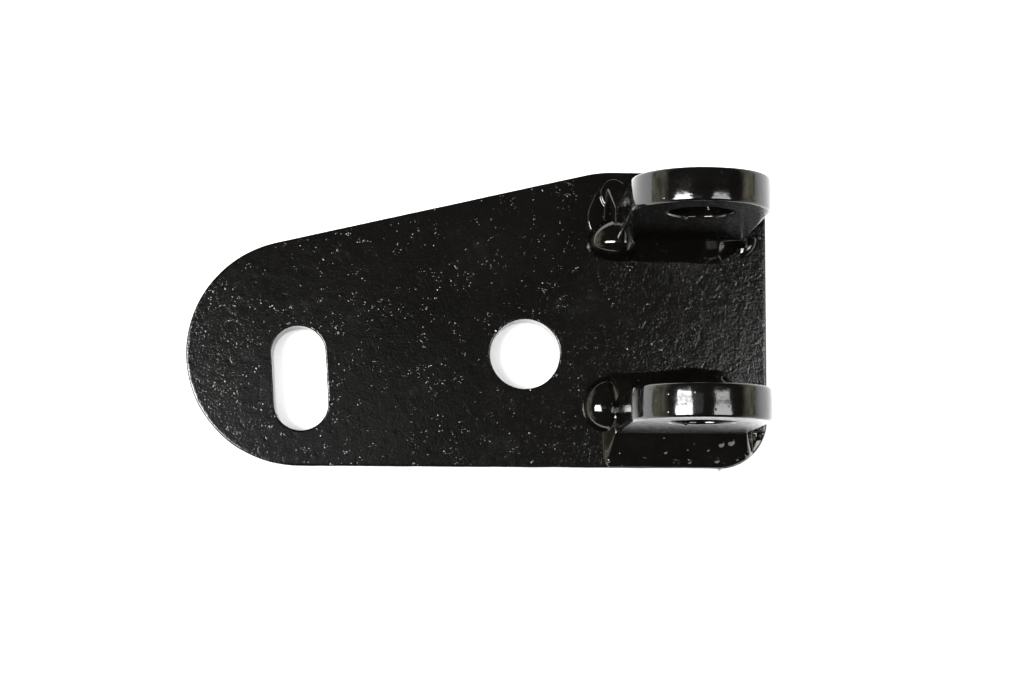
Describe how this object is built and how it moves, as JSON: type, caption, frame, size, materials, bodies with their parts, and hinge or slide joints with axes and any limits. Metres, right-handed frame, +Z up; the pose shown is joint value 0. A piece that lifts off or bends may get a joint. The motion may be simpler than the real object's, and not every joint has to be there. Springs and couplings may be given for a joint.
{
  "type": "welded clevis bracket",
  "caption": "Flat plate with a rounded, slotted end and a bolt hole, and drilled ears welded upright across its wide end as a clevis for a cross pin, in black enamel.",
  "frame": {"origin": "centre of the overall box at the plate's underside", "axes": "+X along the plate from the slotted nose to the ears, +Y across it towards the slanted edge, +Z up out of the plate's face along the ears"},
  "size_m": [0.148, 0.0762, 0.0703],
  "materials": {
    "plate_enamel": "gloss black enamel over pitted hot-rolled plate",
    "ear_enamel": "gloss black enamel over a smooth cut blank",
    "weld_enamel": "thick gloss black enamel over a weld bead"
  },
  "bodies": {
    "root": {"base_plate": "plate_enamel", "upper_ear": "ear_enamel", "lower_ear": "ear_enamel", "upper_ear_inner_weld": "weld_enamel", "upper_ear_outer_weld": "weld_enamel", "upper_ear_end_weld": "weld_enamel", "lower_ear_inner_weld": "weld_enamel", "lower_ear_outer_weld": "weld_enamel", "lower_ear_end_weld": "weld_enamel"}
  },
  "joints": []
}
